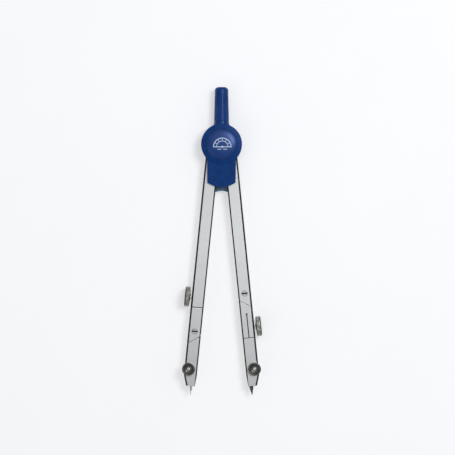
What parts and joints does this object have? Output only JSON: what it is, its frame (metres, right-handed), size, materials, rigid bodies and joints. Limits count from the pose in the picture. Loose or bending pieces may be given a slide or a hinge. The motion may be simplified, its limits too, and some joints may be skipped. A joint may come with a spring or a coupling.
{
  "type": "drawing compass",
  "caption": "School drawing compass with geared self-centring head, fluted grip, jointed bar legs, thumbscrew sockets, needle point and lead point.",
  "frame": {"origin": "middle of the head between the two leg pivots, on the flat back face the compass lies on", "axes": "+Y up the grip, +Z out of the front face, +X towards the lead leg"},
  "size_m": [0.0377, 0.1451, 0.0096],
  "materials": {
    "blue_plastic": "moulded royal blue, soft gloss",
    "blue_cap": "moulded royal blue, polished",
    "grey_plate": "dark slate, matt",
    "satin_nickel": "satin nickel",
    "knurled_nickel": "knurled nickel",
    "dark_nickel": "blackened nickel, knurled",
    "bright_steel": "bright turned steel",
    "brass_washer": "plain brass",
    "graphite": "graphite"
  },
  "bodies": {
    "head": {"front_shell": "blue_plastic", "back_shell": "blue_plastic", "front_cap": "blue_cap", "back_cap": "blue_cap", "carrier_plate": "grey_plate", "pivot_screw_left": "bright_steel", "pivot_screw_right": "bright_steel", "washers_left": "brass_washer", "washers_right": "brass_washer", "shell_screws": "bright_steel", "stem": "bright_steel", "collar": "blue_cap", "grip": "blue_plastic", "grip_cap": "blue_plastic"},
    "left_leg": {"left_leg_bar": "satin_nickel"},
    "left_thumbscrew": {"left_thumbscrew": "knurled_nickel"},
    "needle_insert": {"needle_insert": "satin_nickel", "left_knee_screw": "bright_steel"},
    "needle_holder": {"needle_holder": "satin_nickel", "needle_clamp_stud": "bright_steel"},
    "needle_clamp_nut": {"needle_clamp_nut": "dark_nickel"},
    "needle": {"needle": "bright_steel"},
    "right_leg": {"right_leg_bar": "satin_nickel", "right_knee_screw": "bright_steel"},
    "right_socket": {"right_socket": "satin_nickel"},
    "right_thumbscrew": {"right_thumbscrew": "knurled_nickel"},
    "lead_holder": {"lead_holder": "satin_nickel", "lead_clamp_stud": "bright_steel"},
    "lead_clamp_nut": {"lead_clamp_nut": "dark_nickel"},
    "lead": {"lead": "graphite"}
  },
  "joints": [
    {"name": "left_leg_swing", "type": "hinge", "parent": "head", "child": "left_leg", "pos_m": [-0.00375, 0, 0.0048], "axis": [0, 0, -1], "range_deg": [-5.75, 50]},
    {"name": "right_leg_swing", "type": "hinge", "parent": "head", "child": "right_leg", "pos_m": [0.00375, 0, 0.0048], "axis": [0, 0, 1], "range_deg": [-5.75, 50]},
    {"name": "left_thumbscrew_turn", "type": "hinge", "parent": "left_leg", "child": "left_thumbscrew", "pos_m": [-0.01598, -0.07153, 0.0048], "axis": [-0.995, 0.1002, 0], "range_deg": [0, 720]},
    {"name": "needle_insert_slide", "type": "slide", "parent": "left_leg", "child": "needle_insert", "axis": [-0.1002, -0.995, 0], "range_m": [0, 0.009]},
    {"name": "left_knee", "type": "hinge", "parent": "needle_insert", "child": "needle_holder", "pos_m": [-0.0126, -0.08786, 0.0048], "axis": [0, 0, 1], "range_deg": [0, 50]},
    {"name": "needle_clamp_turn", "type": "hinge", "parent": "needle_holder", "child": "needle_clamp_nut", "pos_m": [-0.01547, -0.10546, 0.0078], "axis": [0, 0, 1], "range_deg": [0, 720]},
    {"name": "needle_slide", "type": "slide", "parent": "needle_holder", "child": "needle", "axis": [-0.1002, -0.995, 0], "range_m": [-0.003, 0.004]},
    {"name": "right_knee", "type": "hinge", "parent": "right_leg", "child": "right_socket", "pos_m": [0.0108, -0.07005, 0.0048], "axis": [0, 0, -1], "range_deg": [0, 28]},
    {"name": "right_thumbscrew_turn", "type": "hinge", "parent": "right_socket", "child": "right_thumbscrew", "pos_m": [0.01738, -0.08546, 0.0048], "axis": [0.995, 0.1002, 0], "range_deg": [0, 720]},
    {"name": "lead_insert_slide", "type": "slide", "parent": "right_socket", "child": "lead_holder", "axis": [0.1002, -0.995, 0], "range_m": [0, 0.009]},
    {"name": "lead_clamp_turn", "type": "hinge", "parent": "lead_holder", "child": "lead_clamp_nut", "pos_m": [0.01547, -0.10546, 0.0078], "axis": [0, 0, 1], "range_deg": [0, 720]},
    {"name": "lead_slide", "type": "slide", "parent": "lead_holder", "child": "lead", "axis": [0.1002, -0.995, 0], "range_m": [-0.003, 0.006]}
  ],
  "couplings": [
    {"joint": "right_leg_swing", "follows": "left_leg_swing", "ratio": 1}
  ]
}
